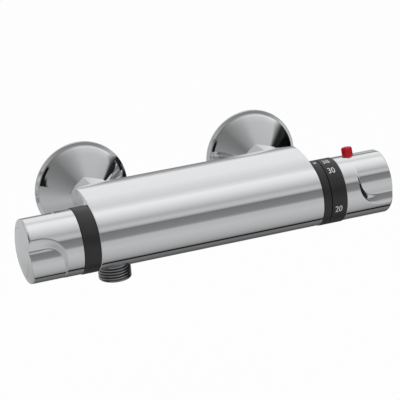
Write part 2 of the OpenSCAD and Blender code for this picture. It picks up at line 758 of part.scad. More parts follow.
// Non-return valve inside each inlet tail: sleeve, poppet and spring. Water comes from the wall.
module check_sleeve()
    color(acetal_blue) {
        turned_on_y([[6.7, 33.1], [8.4, 33.1], [8.4, 48.6], [5, 48.6], [5, 46.4], [6.7, 46.4]]);
        difference() {
            intersection() {
                rod_y(7, 33.3, 35.3);
                for (a = [0:120:240])
                    rotate([0, a, 0]) translate([-1.1, 33, 0]) cube([2.2, 3, 8]);
            }
            rod_y(1.7, 33, 36);
        }
        difference() {
            rod_y(2.8, 33.3, 35.3);
            rod_y(1.7, 33, 36);
        }
    }

module check_poppet()
    color(acetal_white) turned_on_y([[0, 34], [1.6, 34], [1.6, 43.6], [6, 43.6], [6, 45.3],
        [5.2, 46.1], [4.7, 46.5], [0, 47]]);

module check_spring(label)
    color(steel) translate([0, 35.4, 0]) rotate([-90, 0, 0]) coil(3.8, 8.1, 4, 0.4, label);

module hot_inlet_tail() on_inlet(hot_x) inlet_tail();
module cold_inlet_tail() on_inlet(cold_x) inlet_tail();
module hot_check_sleeve() on_inlet(hot_x) check_sleeve();
module cold_check_sleeve() on_inlet(cold_x) check_sleeve();
module hot_check_poppet() on_inlet(hot_x) check_poppet();
module cold_check_poppet() on_inlet(cold_x) check_poppet();
module hot_check_spring() on_inlet(hot_x) check_spring("hot check spring");
module cold_check_spring() on_inlet(cold_x) check_spring("cold check spring");
module hot_union_nut() on_inlet(hot_x) union_nut();
module cold_union_nut() on_inlet(cold_x) union_nut();
module hot_filter_washer() on_inlet(hot_x) filter_washer();
module cold_filter_washer() on_inlet(cold_x) filter_washer();
module hot_eccentric() on_inlet(hot_x) eccentric();
module cold_eccentric() on_inlet(cold_x) eccentric();
module hot_flange() on_inlet(hot_x) wall_flange();
module cold_flange() on_inlet(cold_x) wall_flange();
module hot_flange_seal() on_inlet(hot_x) flange_seal();
module cold_flange_seal() on_inlet(cold_x) flange_seal();

body_casting();
outlet_nipple();
outlet_o_ring();
index_ring();
flow_headwork();
headwork_o_rings();
disc_seal();
fixed_disc();
flow_circlip();
flow_stop_ring();
thermostat_housing();
thermostat_o_rings();
mix_seat();
return_spring();
temperature_circlip();
temperature_stop_ring();
hot_inlet_tail();
cold_inlet_tail();
hot_check_sleeve();
cold_check_sleeve();
hot_check_spring();
cold_check_spring();
hot_union_nut();
cold_union_nut();
hot_filter_washer();
cold_filter_washer();
hot_eccentric();
cold_eccentric();
hot_flange();
cold_flange();
hot_flange_seal();
cold_flange_seal();
flow_handle();
flow_ring();
flow_handle_cap();
flow_handle_screw();
flow_spindle();
flow_spindle_o_rings();
moving_disc();
temperature_handle();
scale_ring();
temperature_handle_cap();
temperature_handle_screw();
temperature_spindle();
temperature_spindle_o_rings();
button_spring();
safety_button();
adjusting_cup();
overload_spring();
overload_cap();
wax_element();
mixing_shuttle();
hot_check_poppet();
cold_check_poppet();
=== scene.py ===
"""Thermostatic shower valve: chrome pieces, printed rings, finishes and a plain studio round the frame."""
import json
import logging
import math
from dataclasses import dataclass
from enum import Enum
from typing import Callable, Sequence

import bmesh
import bpy
from mathutils import Matrix, Vector


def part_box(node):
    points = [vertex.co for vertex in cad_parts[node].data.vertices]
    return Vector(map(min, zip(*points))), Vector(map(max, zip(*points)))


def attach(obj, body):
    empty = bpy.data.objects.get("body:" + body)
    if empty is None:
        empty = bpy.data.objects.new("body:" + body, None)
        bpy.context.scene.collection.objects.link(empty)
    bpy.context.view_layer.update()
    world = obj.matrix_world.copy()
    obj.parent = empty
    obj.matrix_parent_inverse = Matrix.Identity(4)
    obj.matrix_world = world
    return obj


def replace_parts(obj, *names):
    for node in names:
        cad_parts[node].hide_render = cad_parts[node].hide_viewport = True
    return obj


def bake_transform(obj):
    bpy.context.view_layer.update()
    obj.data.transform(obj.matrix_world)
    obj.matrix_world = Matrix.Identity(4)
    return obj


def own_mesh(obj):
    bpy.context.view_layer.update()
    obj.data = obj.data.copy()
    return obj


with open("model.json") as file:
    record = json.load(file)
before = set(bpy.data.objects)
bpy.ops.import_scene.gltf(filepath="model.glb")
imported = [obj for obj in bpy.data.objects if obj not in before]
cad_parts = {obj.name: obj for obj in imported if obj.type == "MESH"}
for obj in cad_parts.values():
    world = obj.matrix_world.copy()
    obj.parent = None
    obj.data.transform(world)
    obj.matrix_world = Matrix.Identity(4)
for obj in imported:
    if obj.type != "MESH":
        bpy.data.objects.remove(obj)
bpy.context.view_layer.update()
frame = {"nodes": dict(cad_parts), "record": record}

log = logging.getLogger("valve")

MM = 0.001
Point = tuple[float, float]
Stops = tuple[Point, ...]
Corner = tuple[float, float, float]
Surface = Callable[[float, float, float], float]
Object = bpy.types.Object
Socket = bpy.types.NodeSocket
Material = bpy.types.Material


class Along(Enum):
    """The direction that a turned piece runs in."""

    X = Vector((1, 0, 0))
    Y = Vector((0, 1, 0))
    Z = Vector((0, 0, 1))


class Rider(Enum):
    """The moving bodies of the valve, by their names in the frame."""

    VALVE = "valve_body"
    FLOW = "flow_control"
    TEMPERATURE = "temperature_control"
    BUTTON = "safety_catch"
    SLIDE = "mixing_slide"


def corners_of(node: str) -> tuple[Vector, Vector]:
    """Gives the low and the high corner of a CAD node's box in millimetres."""
    low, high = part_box(node)
    return Vector(low) / MM, Vector(high) / MM


def middle(node: str) -> Vector:
    """Gives the middle of a CAD node's box in millimetres."""
    low, high = corners_of(node)
    return (low + high) / 2


def bar_axis() -> Vector:
    """Gives a point on the bar's own axis, level with the wall frame's origin, in millimetres."""
    ring = middle("index_ring")
    return Vector((0, ring.y, ring.z))


def put_in_scene(name: str, data: bpy.types.ID) -> Object:
    """Puts a mesh, a text, a lamp or a camera in the scene.

    Args:
        name: The name of the object that shows it.
        data: What it shows.

    Returns:
        The object, at the origin.
    """
    made = bpy.data.objects.new(name, data)
    bpy.context.scene.collection.objects.link(made)
    return made


# Shader tools


def operator(operation: str, swapped: bool = False) -> Callable[["Value", "Value | float"], "Value"]:
    """Makes an operator of Value.

    Args:
        operation: The operation of the Math node that it adds.
        swapped: Whether the other operand comes first.

    Returns:
        The operator.
    """
    def apply(value: "Value", other: "Value | float") -> "Value":
        """Adds the Math node."""
        return value.tree.math(operation, *((other, value) if swapped else (value, other)))

    return apply


class Value:
    """One number in a shader. Python's operators on it add Math nodes."""

    __add__ = operator("ADD")
    __sub__ = operator("SUBTRACT")
    __rsub__ = operator("SUBTRACT", swapped=True)
    __mul__ = operator("MULTIPLY")
    __truediv__ = operator("DIVIDE")
    __pow__ = operator("POWER")
    __gt__ = operator("GREATER_THAN")
    __lt__ = operator("LESS_THAN")
    arctan2 = operator("ARCTAN2")

    def __init__(self, tree: "Tree", socket: Socket) -> None:
        """Wraps an output socket of a tree."""
        self.tree = tree
        self.socket = socket


class Tree:
    """A node tree of a material or of the world."""

    def __init__(self, owner: Material | bpy.types.World) -> None:
        """Takes over a node tree and empties it.

        Args:
            owner: The material or the world that it belongs to.
        """
        owner.use_nodes = True
        self.node_tree = owner.node_tree
        self.node_tree.nodes.clear()

    def node(self, kind: str, settings: dict | None = None, *given: object,
             **inputs: object) -> bpy.types.Node:
        """Adds a node.

        Args:
            kind: The node's type.
            settings: Its own properties, set first.
            given: Values or links for its inputs, in their order.
            inputs: The same by name. An underscore in a name stands for a space.

        Returns:
            The node.
        """
        made = self.node_tree.nodes.new(kind)
        for name, setting in (settings or {}).items():
            setattr(made, name, setting)
        for socket, one in zip(made.inputs, given):
            self.feed(socket, one)
        for name, one in inputs.items():
            self.feed(made.inputs[name.replace("_", " ")], one)
        return made

    def value(self, output: str | int, kind: str, settings: dict | None = None, *given: object,
              **inputs: object) -> Value:
        """Adds a node as node() does and gives one of its outputs."""
        return Value(self, self.node(kind, settings, *given, **inputs).outputs[output])

    def feed(self, socket: Socket, given: object) -> None:
        """Sets or links an input.

        Args:
            socket: The input.
            given: A value to set it to, or a Value or an output to link to it.
        """
        if isinstance(given, Value):
            self.node_tree.links.new(given.socket, socket)
        elif isinstance(given, Socket):
            self.node_tree.links.new(given, socket)
        else:
            socket.default_value = given

    def math(self, operation: str, *operands: Value | float) -> Value:
        """Adds a Math node and gives its result."""
        return self.value(0, "ShaderNodeMath", {"operation": operation}, *operands)

    def noise(self, where: Socket, scale: float, detail: float) -> Value:
        """Gives a noise pattern from 0 to 1 at a number of features per metre."""
        return self.value("Fac", "ShaderNodeTexNoise", Vector=where, Scale=scale, Detail=detail,
                          Roughness=0.5)

    def parts(self, where: Socket) -> tuple[Value, ...]:
        """Gives the X, Y and Z of a vector."""
        return tuple(Value(self, part) for part in self.node("ShaderNodeSeparateXYZ", Vector=where).outputs)

    def camera_ray(self) -> Value:
        """Gives 1 for what the camera sees and 0 for reflections and light."""
        return self.value("Is Camera Ray", "ShaderNodeLightPath")

    def ramp(self, value: Value, low: float, high: float, stops: Stops) -> Value:
        """Maps a value through straight lines between stops.

        Args:
            value: The value.
            low: The lowest that it gets.
            high: The highest that it gets.
            stops: Pairs of a value and the level there, from low to high.

        Returns:
            The level.
        """
        made = self.node("ShaderNodeValToRGB", Fac=(value - low) / (high - low))
        elements = made.color_ramp.elements
        while len(elements) < len(stops):
            elements.new(1.0)
        for element, (place, level) in zip(elements, stops):
            element.position = (place - low) / (high - low)
            element.color = (level, level, level, 1)
        return Value(self, made.outputs["Color"])


def mixed(first: Value, second: Value, share: Value) -> Value:
    """Goes from the first value to the second as the share goes from 0 to 1."""
    return first + (second - first) * share


def eased(value: Value, none: float, full: float) -> Value:
    """Eases from 0 to 1 as a value goes from one limit to another, which may be the lower one."""
    rise = value.tree.value("Result", "ShaderNodeMapRange", {"interpolation_type": "SMOOTHSTEP"}, Value=value,
                            From_Min=min(none, full), From_Max=max(none, full))
    return rise if full > none else 1.0 - rise


# Finishes


@dataclass(frozen=True)
class Finish:
    """A procedural finish: a colour and a roughness that vary a little, and a fine grain.

    Patches and grains are counted per metre, and shades is how far the patches part from the colour.
    """

    name: str
    colour: tuple[float, float, float]
    roughness: float
    spread: float
    patches: float = 250.0
    shades: float = 0.03
    grains: float = 2500.0
    grain_mm: float = 0.002
    metallic: float = 0.0
    coat: float = 0.0

    def material(self) -> Material:
        """Builds the material.

        Returns:
            The material, or the one that is already built.
        """
        if self.name in bpy.data.materials:
            return bpy.data.materials[self.name]
        made = bpy.data.materials.new(self.name)
        tree = Tree(made)
        where = tree.node("ShaderNodeTexCoord").outputs["Object"]
        shade, rough, height = self.patterns(tree, where)
        mix = tree.node("ShaderNodeMix", {"data_type": "RGBA"}, shade)
        for socket, change in ((6, -self.shades), (7, self.shades)):
            mix.inputs[socket].default_value = [min(1.0, c * (1 + change)) for c in self.colour] + [1]
        bump = tree.node("ShaderNodeBump", Strength=1.0, Distance=self.grain_mm * MM, Height=height)
        shader = tree.node("ShaderNodeBsdfPrincipled", Base_Color=mix.outputs[2], Metallic=self.metallic,
                           Roughness=rough * self.spread + (self.roughness - self.spread / 2),
                           Normal=bump.outputs[0], Coat_Weight=self.coat)
        tree.node("ShaderNodeOutputMaterial", Surface=shader.outputs[0])
        return made

    def patterns(self, tree: Tree, where: Socket) -> tuple[Value, Value, Value]:
        """Gives the patterns of the surface, each from 0 to 1.

        Args:
            tree: The material's tree.
            where: The object coordinates.

        Returns:
            The patterns of the shade, the roughness and the height.
        """
        spots = tree.noise(where, self.patches, 4.0)
        return spots, spots, tree.noise(where, self.grains, 3.0)


@dataclass(frozen=True)
class Turned(Finish):
    """A metal with the fine rings that a lathe leaves, along one direction."""

    patches: float = 150.0
    grains: float = 1600.0
    metallic: float = 1.0
    along: Along = Along.X
    # How much of the shade comes from the rings
    ring_share: float = 0.4

    def patterns(self, tree: Tree, where: Socket) -> tuple[Value, Value, Value]:
        """Gives the patterns of the surface with the rings of the lathe.

        Args:
            tree: The material's tree.
            where: The object coordinates.

        Returns:
            The patterns of the shade, the roughness and the height, each from 0 to 1.
        """
        stretched = tree.node("ShaderNodeMapping", Vector=where,
                              Scale=[1.0 if axis else 0.02 for axis in self.along.value])
        rings = tree.noise(stretched.outputs[0], self.grains, 3.0)
        spots = tree.noise(where, self.patches, 3.0)
        return spots * (1 - self.ring_share) + rings * self.ring_share, rings, rings


@dataclass(frozen=True)
class RootShaded(Finish):
    """A plated thread round an upright axis, with painted shade that darkens it towards its roots."""

    centre_mm: Point = (0.0, 0.0)
    root_mm: float = 1.0
    crest_mm: float = 2.0
    # How much of the shade comes from the spots; the rest is painted shade from the thread's depth
    spot_share: float = 0.15

    def patterns(self, tree: Tree, where: Socket) -> tuple[Value, Value, Value]:
        """Gives the patterns of the surface, with painted shade from the depth of the thread.

        Args:
            tree: The material's tree.
            where: The object coordinates.

        Returns:
            The patterns of the shade, the roughness and the height, each from 0 to 1.
        """
        aside, forward, _ = tree.parts(where)
        aside, forward = aside - self.centre_mm[0] * MM, forward - self.centre_mm[1] * MM
        away = (aside * aside + forward * forward) ** 0.5
        spots = tree.noise(where, self.patches, 3.0)
        # Painted shade: darkest at the thread's roots, lightest at its crests
        depth = eased(away, self.root_mm * MM, self.crest_mm * MM)
        return depth * (1 - self.spot_share) + spots * self.spot_share, spots, spots


CHROME = Finish("polished_chrome", (0.80, 0.81, 0.82), 0.055, 0.03, patches=90.0, shades=0.012, grains=700.0,
                grain_mm=0.0006, metallic=1.0)
BLACK = Finish("satin_black_plastic", (0.019, 0.017, 0.018), 0.34, 0.12, patches=300.0, shades=0.15,
               grains=3500.0, grain_mm=0.004)
PRINT = Finish("white_print", (0.74, 0.73, 0.72), 0.55, 0.1, patches=900.0, shades=0.06, grains=6000.0)
RED = Finish("gloss_red_plastic", (0.52, 0.004, 0.016), 0.24, 0.1, patches=400.0, shades=0.12, grains=3000.0,
             coat=0.3)
PLATED = Turned("plated_turned_brass", (0.66, 0.66, 0.66), 0.22, 0.12, shades=0.05, grain_mm=0.001,
                along=Along.Y)
STEEL = Turned("stainless_steel", (0.60, 0.61, 0.63), 0.27, 0.12, patches=200.0, shades=0.06, grain_mm=0.001)
SLOT_FINISHES = {
    "chrome": CHROME, "black_ring": BLACK, "red_button": RED, "steel": STEEL,
    "brass": Turned("turned_brass", (0.72, 0.55, 0.27), 0.30, 0.14, shades=0.10),
    "wax_copper": Turned("drawn_copper", (0.62, 0.33, 0.19), 0.28, 0.12, shades=0.12),
    "rubber": Finish("matt_rubber", (0.020, 0.020, 0.021), 0.75, 0.2, patches=500.0, shades=0.2,
                     grain_mm=0.01),
    "ceramic": Finish("lapped_ceramic", (0.86, 0.84, 0.79), 0.16, 0.08, grains=5000.0, grain_mm=0.001,
                      coat=0.2),
    "white_acetal": Finish("white_acetal", (0.78, 0.78, 0.75), 0.42, 0.1, grain_mm=0.003),
    "blue_acetal": Finish("blue_acetal", (0.09, 0.20, 0.38), 0.42, 0.1, shades=0.06, grain_mm=0.003),
}


# Mesh tools

CORNER_CHORDS = 5


def arc(centre: Point, radius: float, start: float, end: float, chords: int) -> list[Point]:
    """Gives the points of an arc between two angles in degrees, both ends included."""
    turns = [math.radians(start + (end - start) * i / chords) for i in range(chords + 1)]
    return [(centre[0] + radius * math.cos(t), centre[1] + radius * math.sin(t)) for t in turns]


def rounded(corners: Sequence[Corner], closed: bool = True) -> list[Point]:
    """Rounds the corners of an outline.

    Args:
        corners: Points with the radius that each corner gets, 0 for a sharp one.
        closed: Whether the last point runs on to the first.

    Returns:
        The points of the rounded outline.
    """
    made: list[Point] = []
    count = len(corners)
    for i, (x, y, radius) in enumerate(corners):
        here = Vector((x, y))
        if radius <= 0 or (not closed and i in (0, count - 1)):
            made.append((x, y))
            continue
        before = (Vector(corners[i - 1][:2]) - here).normalized()
        after = (Vector(corners[(i + 1) % count][:2]) - here).normalized()
        half = before.angle(after) / 2
        reach = radius / math.tan(half)
        centre = here + (before + after).normalized() * (radius / math.sin(half))
        first = here + before * reach - centre
        swing = first.angle_signed(here + after * reach - centre)
        for k in range(CORNER_CHORDS + 1):
            spoke = Matrix.Rotation(-swing * k / CORNER_CHORDS, 2) @ first
            made.append((centre.x + spoke.x, centre.y + spoke.y))
    return made


def dense(points: Sequence[Point], spacing: float, closed: bool = True) -> list[Point]:
    """Adds points to an outline.

    Args:
        points: The outline.
        spacing: The length that no chord may pass.
        closed: Whether the last point runs on to the first.

    Returns:
        The denser outline.
    """
    made: list[Point] = []
    pairs = list(zip(points, points[1:] + points[:1] if closed else points[1:]))
    for (x0, y0), (x1, y1) in pairs:
        count = max(1, math.ceil(math.hypot(x1 - x0, y1 - y0) / spacing))
        made += [(x0 + (x1 - x0) * k / count, y0 + (y1 - y0) * k / count) for k in range(count)]
    if not closed:
        made.append(points[-1])
    return made


def soft_max(a: float, b: float, width: float) -> float:
    """Gives the larger of two lengths, with a rounding of about a width where they meet."""
    closeness = max(0.0, width - abs(a - b)) / width
    return max(a, b) + closeness * closeness * width / 4


def soft_min(a: float, b: float, width: float) -> float:
    """Gives the smaller of two lengths, rounded as soft_max rounds."""
    return -soft_max(-a, -b, width)


def smooth_step(value: float) -> float:
    """Eases a value from 0 to 1."""
    clipped = min(1.0, max(0.0, value))
    return clipped * clipped * (3 - 2 * clipped)


# The directions at angle 0 and at 90 degrees round each direction that a piece runs in
ANGLE_AXES = {Along.X: (-Along.Y.value, Along.Z.value), Along.Y: (Along.X.value, Along.Z.value),
              Along.Z: (Along.X.value, Along.Y.value)}


class Shape:
    """A mesh under construction, in millimetres, from bmesh operators."""

    def __init__(self) -> None:
        """Starts an empty mesh."""
        self.bm = bmesh.new()

    def turn(self, outline: Sequence[Point], along: Along, count: int, closed: bool = True) -> "Shape":
        """Spins an outline of (place along the axis, radius) round an axis through the origin.

        Args:
            outline: The points.
            along: The direction of the axis.
            count: The number of steps round.
            closed: Whether the outline is a loop.

        Returns:
            This shape.
        """
        side = Along.Y.value if along is Along.X else Along.X.value
        verts = [self.bm.verts.new(along.value * a + side * r) for a, r in outline]
        pairs = list(zip(verts, verts[1:]))
        if closed:
            pairs.append((verts[-1], verts[0]))
        edges = [self.bm.edges.new(pair) for pair in pairs]
        bmesh.ops.spin(self.bm, geom=verts + edges, cent=(0, 0, 0), axis=along.value, angle=math.tau,
                       steps=count, use_merge=True)
        bmesh.ops.remove_doubles(self.bm, verts=self.bm.verts, dist=1e-4)
        bmesh.ops.recalc_face_normals(self.bm, faces=self.bm.faces)
        return self

    def reshape(self, along: Along, surface: Surface, above: float) -> "Shape":
        """Moves vertices towards or away from the axis.

        Args:
            along: The direction of the axis.
            surface: Gives the new radius from the place along the axis, the angle and the old radius. The
                angle is in degrees: from the front over the top for X, and from +X for the others.
            above: Vertices nearer the axis than this stay.

        Returns:
            This shape.
        """
        across, up = ANGLE_AXES[along]
        for vert in self.bm.verts:
            place = vert.co.dot(along.value)
            away = vert.co - along.value * place
            if away.length > above:
                angle = math.degrees(math.atan2(away.dot(up), away.dot(across)))
                radius = surface(place, angle, away.length)
                vert.co = along.value * place + away.normalized() * radius
        return self

    def loft(self, loops: Sequence[Sequence[Vector]]) -> "Shape":
        """Bridges closed loops of points one after another and closes both ends.

        Args:
            loops: The loops, each with the same number of points.

        Returns:
            This shape.
        """
        rings = []
        for loop in loops:
            verts = [self.bm.verts.new(point) for point in loop]
            rings.append([self.bm.edges.new(pair) for pair in zip(verts, verts[1:] + verts[:1])])
        for first, second in zip(rings, rings[1:]):
            bmesh.ops.bridge_loops(self.bm, edges=first + second)
        for ring in (rings[0], rings[-1]):
            bmesh.ops.contextual_create(self.bm, geom=ring)
        bmesh.ops.recalc_face_normals(self.bm, faces=self.bm.faces)
        return self

    def shift(self, matrix: Matrix) -> "Shape":
        """Applies a matrix to all vertices."""
        bmesh.ops.transform(self.bm, matrix=matrix, verts=self.bm.verts)
        return self

    def to_object(self, name: str, material: Material, sharp: float = 38.0) -> Object:
        """Turns the shape into an object at the origin, with its place in its mesh, in metres.

        Args:
            name: The object's name.
            material: Its material.
            sharp: The angle in degrees from which an edge is shaded sharp.

        Returns:
            The object.
        """
        self.shift(Matrix.Scale(MM, 4))
        for edge in self.bm.edges:
            bends = len(edge.link_faces) == 2 and edge.calc_face_angle(0.0) > math.radians(sharp)
            edge.smooth = not bends
        for face in self.bm.faces:
            face.smooth = True
        mesh = bpy.data.meshes.new(name)
        self.bm.to_mesh(mesh)
        self.bm.free()
        mesh.materials.append(material)
        log.info("%s: %d faces", name, len(mesh.polygons))
        return put_in_scene(name, mesh)

    def piece(self, name: str, rider: Rider, slot: str, finish: Finish | None = None,
              sharp: float = 38.0) -> Object:
        """Turns the shape into a finished piece.

        Args:
            name: The piece's name.
            rider: The body that it moves with.
            slot: The record's material slot for it.
            finish: Its finish, where it isn't the slot's.
            sharp: The angle in degrees from which an edge is shaded sharp.

        Returns:
            The piece.
        """
        made = self.to_object(name, (finish or SLOT_FINISHES[slot]).material(), sharp)
        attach(made, rider.value)
        return made


def final_mesh(source: Object) -> bpy.types.Mesh:
    """Gives a new mesh of what an object's modifiers or its text make."""
    graph = bpy.context.evaluated_depsgraph_get()
    return bpy.data.meshes.new_from_object(source.evaluated_get(graph))


def drill(piece: Object, radius: float, depth: float, place: Matrix) -> None:
    """Cuts a round hole into a finished piece.

    Args:
        piece: The piece.
        radius: The hole's radius in millimetres.
        depth: Its length, half of it on each side of the place's origin along its Z.
        place: Where it goes, in millimetres.
    """
    bore = Shape()
    bmesh.ops.create_cone(bore.bm, cap_ends=True, segments=48, radius1=radius, radius2=radius, depth=depth,
                          matrix=place)
    cutter = bore.to_object("cutter", piece.data.materials[0])
    cut = piece.modifiers.new("hole", "BOOLEAN")
    cut.operation = "DIFFERENCE"
    cut.object = cutter
    cut.solver = "EXACT"
    opened = final_mesh(piece)
    piece.modifiers.clear()
    piece.data = opened
    bpy.data.objects.remove(cutter)


# Sub-assemblies


@dataclass
class CastBody:
    """The cast body: round front, crowned top, flat rear and rear corners that sweep forward."""

    axis: Vector
    half_length: float = 94.0
    bar_r: float = 26.0
    crown_r: float = 110.0
    crown_start: float = 112.0
    rear_y: float = 38.0
    under_r: float = 6.0
    under_z: float = -2.0
    rear_edge_r: float = 1.5
    end_edge_r: float = 0.7
    sweep_start: float = 70.0
    sweep_r: float = 72.0
    boss_r: float = 15.5
    boss_rise: float = 1.0
    # The bore above the outlet stub: its radius, its depth and how far its middle lies above the stub's
    bore_r: float = 9.0
    bore_depth: float = 34.0
    bore_rise: float = 5.0
    # Places along the bar of the outlines between the rear corners, and in the right corner
    flat_x: Sequence[float] = range(-70, 71, 20)
    sweep_x: Sequence[float] = (72, 75, 78, 81, 84, 86.5, 89, 91)

    def rear_at(self, x: float) -> float:
        """Gives how far back the rear face lies at a place along the bar."""
        past = max(0.0, abs(x) - self.sweep_start)
        return self.rear_y - self.sweep_r + math.sqrt(self.sweep_r ** 2 - past ** 2)

    def section(self, rear: float, inset: float) -> list[Point]:
        """Gives the outline of the body across the bar.

        Args:
            rear: How far back the rear face lies.
            inset: How far the whole outline is drawn in.

        Returns:
            The points (Y, Z) from the crown over the rear and the underside to the front and back up.
        """
        start = math.radians(self.crown_start)
        off = self.bar_r - self.crown_r
        crown_c = (off * math.cos(start), off * math.sin(start))
        edge_y = rear - self.rear_edge_r
        reach = self.crown_r - self.rear_edge_r
        edge_z = crown_c[1] + math.sqrt(reach ** 2 - (edge_y - crown_c[0]) ** 2)
        edge_a = math.degrees(math.atan2(edge_z - crown_c[1], edge_y - crown_c[0]))
        under_c = (rear - self.under_r, self.under_z)
        under_a = math.degrees(math.atan2(under_c[1], under_c[0]) -
                               math.acos((self.bar_r - self.under_r) / math.hypot(*under_c)))
        edge_r = max(0.02, self.rear_edge_r - inset)
        return [*arc(crown_c, self.crown_r - inset, self.crown_start, edge_a, chords=22)[:-1],
                *arc((edge_y, edge_z), edge_r, edge_a, 0, chords=6),
                *arc(under_c, self.under_r - inset, 0, under_a, chords=12),
                *arc((0, 0), self.bar_r - inset, under_a, self.crown_start - 360, chords=132)[:-1]]

    def stations(self) -> list[tuple[float, float]]:
        """Gives the places of the body's outlines.

        Returns:
            Pairs of a place along the bar and the inset that the rounded end edge has there.
        """
        edge_x = self.half_length - self.end_edge_r
        right = [(x, 0.0) for x in self.sweep_x]
        rounding = arc((0, edge_x), self.end_edge_r, 0, 90, chords=6)
        right += [(x, self.end_edge_r - inset) for inset, x in rounding]
        return [(-x, inset) for x, inset in reversed(right)] + [(x, 0.0) for x in self.flat_x] + right

    def build(self) -> None:
        """Makes the body and the two bosses round its inlets."""
        loops = []
        for x, inset in self.stations():
            outline = self.section(self.rear_at(x), inset)
            loops.append([Vector((x, y, z)) + self.axis for y, z in outline])
        body = Shape().loft(loops).piece("cast_body", Rider.VALVE, "chrome")
        above_stub = middle("outlet_nipple") + Along.Z.value * self.bore_rise
        drill(body, self.bore_r, self.bore_depth, Matrix.Translation(above_stub))
        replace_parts(body, "body_casting")
        for side in ("hot", "cold"):
            self.boss(side)

    def boss(self, side: str) -> None:
        """Makes the turned boss behind one inlet.

        Args:
            side: The inlet, hot or cold.
        """
        tail = middle(f"{side}_inlet_tail")
        front, back = self.rear_y - 1, self.rear_y + self.boss_rise
        outline = rounded([(front, 0, 0), (front, self.boss_r, 0), (back, self.boss_r, 0.5), (back, 0, 0)],
                          closed=False)
        made = Shape().turn(outline, Along.Y, count=72, closed=False)
        made.shift(Matrix.Translation((tail.x, self.axis.y, tail.z)))
        made.piece(f"{side}_inlet_boss", Rider.VALVE, "chrome")


